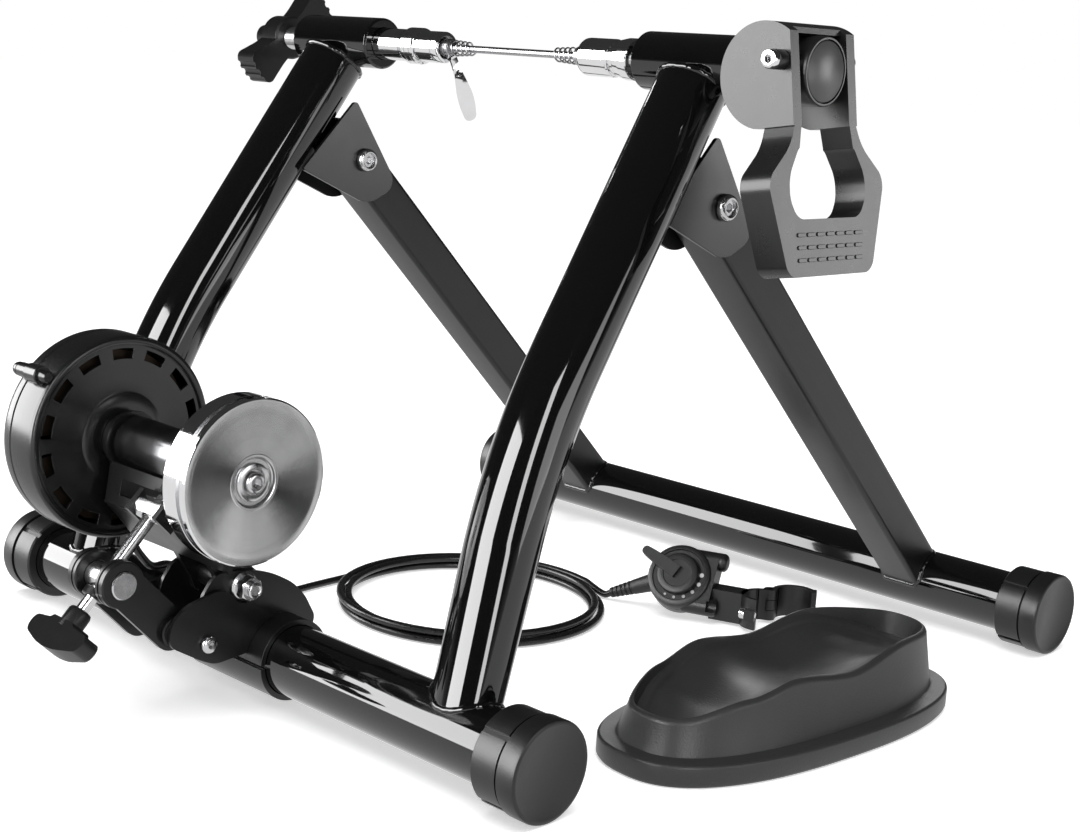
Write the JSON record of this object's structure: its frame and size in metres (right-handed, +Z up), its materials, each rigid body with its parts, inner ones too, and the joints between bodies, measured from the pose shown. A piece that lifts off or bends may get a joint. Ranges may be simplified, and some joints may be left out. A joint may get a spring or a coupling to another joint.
{
  "type": "wheel-on turbo trainer",
  "caption": "Folding magnetic bicycle trainer with an A-frame stand, roller and flywheel unit, remote cable and front-wheel riser block.",
  "frame": {"origin": "on the floor under the middle of the trainer and its riser block", "axes": "+X along the wheel axle towards the quick-release lever, +Y from the resistance unit to the folding legs' cross tube, +Z up"},
  "size_m": [0.568, 0.6478, 0.4173],
  "materials": {
    "gloss_paint": "gloss",
    "satin_paint": "satin",
    "black_plastic": "matte",
    "grey_plastic": "matte",
    "cable_rubber": "satin",
    "chrome": "polished",
    "turned_steel": "brushed"
  },
  "bodies": {
    "stand": {"rear_cross_tube": "gloss_paint", "rear_end_cap_left": "black_plastic", "rear_end_cap_right": "black_plastic", "main_leg_left": "gloss_paint", "main_leg_right": "gloss_paint", "axle_barrel_left": "gloss_paint", "axle_barrel_right": "gloss_paint", "hinge_bracket_left": "satin_paint", "hinge_bracket_right": "satin_paint", "hinge_bolt_left": "chrome", "hinge_bolt_right": "chrome", "tube_saddle": "satin_paint", "tube_strap": "satin_paint", "clamp_plate_left": "satin_paint", "clamp_plate_right": "satin_paint", "cross_bolt": "chrome", "pivot_bolt": "chrome", "tension_pin": "turned_steel", "plunger_housing": "black_plastic", "plunger_cap": "grey_plastic", "cable_lead": "cable_rubber", "cable_coil": "cable_rubber", "cable_tail": "cable_rubber", "remote_body": "black_plastic", "remote_boot": "cable_rubber", "remote_screw": "chrome"},
    "folding_frame": {"folding_leg_left": "satin_paint", "folding_leg_right": "satin_paint", "front_cross_tube": "gloss_paint", "front_end_cap_left": "black_plastic", "front_end_cap_right": "black_plastic"},
    "resistance_unit": {"unit_yoke": "satin_paint", "bearing_left": "turned_steel", "bearing_right": "turned_steel", "drum_cover": "black_plastic", "drum_housing": "black_plastic"},
    "rotor": {"roller": "chrome", "flywheel": "turned_steel", "flywheel_screw": "chrome", "eddy_disc": "turned_steel"},
    "magnets": {"magnet_carrier": "turned_steel"},
    "barrel_nut": {"trunnion": "turned_steel"},
    "tension_knob": {"tension_screw": "black_plastic"},
    "left_cup_body": {"left_cup": "chrome", "skewer_rod": "chrome", "skewer_nut": "chrome", "spring_left": "turned_steel", "spring_right": "turned_steel"},
    "knob_body": {"left_knob": "black_plastic"},
    "skewer_cam": {"skewer_lever": "chrome"},
    "right_cup_body": {"right_cup": "chrome"},
    "lever_body": {"release_lever": "black_plastic", "release_pin": "chrome"},
    "dial_body": {"remote_dial": "black_plastic"},
    "band_body": {"remote_band": "black_plastic"},
    "riser_body": {"riser_block": "black_plastic"}
  },
  "joints": [
    {"name": "legs_fold", "type": "hinge", "parent": "stand", "child": "folding_frame", "pos_m": [-0.01249, 0.01209, 0.3037], "axis": [-1, 0, 0], "range_deg": [0, 72]},
    {"name": "unit_swing", "type": "hinge", "parent": "stand", "child": "resistance_unit", "pos_m": [-0.01249, -0.20441, 0.07346], "axis": [-1, 0, 0], "range_deg": [-4, 6]},
    {"name": "trunnion_turn", "type": "hinge", "parent": "resistance_unit", "child": "barrel_nut", "pos_m": [-0.01249, -0.25081, 0.1203], "axis": [-1, 0, 0], "range_deg": [-6, 4]},
    {"name": "tension_turn", "type": "hinge", "parent": "stand", "child": "tension_knob", "pos_m": [-0.01249, -0.28241, 0.08636], "axis": [0, 0.6814, 0.7319], "range_deg": [-850, 1260]},
    {"name": "rotor_spin", "type": "hinge", "parent": "resistance_unit", "child": "rotor", "pos_m": [-0.01249, -0.23071, 0.1475], "axis": [1, 0, 0], "continuous": true},
    {"name": "magnet_turn", "type": "hinge", "parent": "resistance_unit", "child": "magnets", "pos_m": [-0.01249, -0.23071, 0.1475], "axis": [1, 0, 0], "range_deg": [-18, 27]},
    {"name": "left_cup_slide", "type": "slide", "parent": "stand", "child": "left_cup_body", "axis": [1, 0, 0], "range_m": [-0.025, 0]},
    {"name": "left_knob_turn", "type": "hinge", "parent": "left_cup_body", "child": "knob_body", "pos_m": [-0.24249, 0.00609, 0.384], "axis": [1, 0, 0], "range_deg": [-3005, 0]},
    {"name": "skewer_lever_turn", "type": "hinge", "parent": "left_cup_body", "child": "skewer_cam", "pos_m": [-0.06549, 0.00842, 0.37924], "axis": [0, -0.8988, -0.4384], "range_deg": [0, 60]},
    {"name": "release_lever_turn", "type": "hinge", "parent": "stand", "child": "lever_body", "pos_m": [0.22551, 0.00609, 0.389], "axis": [0, -1, 0], "range_deg": [0, 95]},
    {"name": "right_cup_slide", "type": "slide", "parent": "stand", "child": "right_cup_body", "axis": [1, 0, 0], "range_m": [0, 0.0071]},
    {"name": "remote_dial_turn", "type": "hinge", "parent": "stand", "child": "dial_body", "pos_m": [0.04551, 0.15209, 0.02458], "axis": [0.2971, -0.774, 0.5592], "range_deg": [-60.5, 90.5]},
    {"name": "remote_band_turn", "type": "hinge", "parent": "stand", "child": "band_body", "pos_m": [0.09612, 0.18962, 0], "axis": [0, 0, -1], "range_deg": [0, 105]},
    {"name": "riser_lift", "type": "slide", "parent": "stand", "child": "riser_body", "axis": [0, 0, 1], "range_m": [0, 0.1]}
  ],
  "couplings": [
    {"joint": "trunnion_turn", "follows": "unit_swing", "ratio": -1},
    {"joint": "tension_turn", "follows": "unit_swing", "ratio": 207.13},
    {"joint": "left_knob_turn", "follows": "left_cup_slide", "rad_per_m": 2094.4},
    {"joint": "right_cup_slide", "follows": "release_lever_turn", "m_per_rad": 0.00422},
    {"joint": "remote_dial_turn", "follows": "magnet_turn", "ratio": 3.3333}
  ]
}
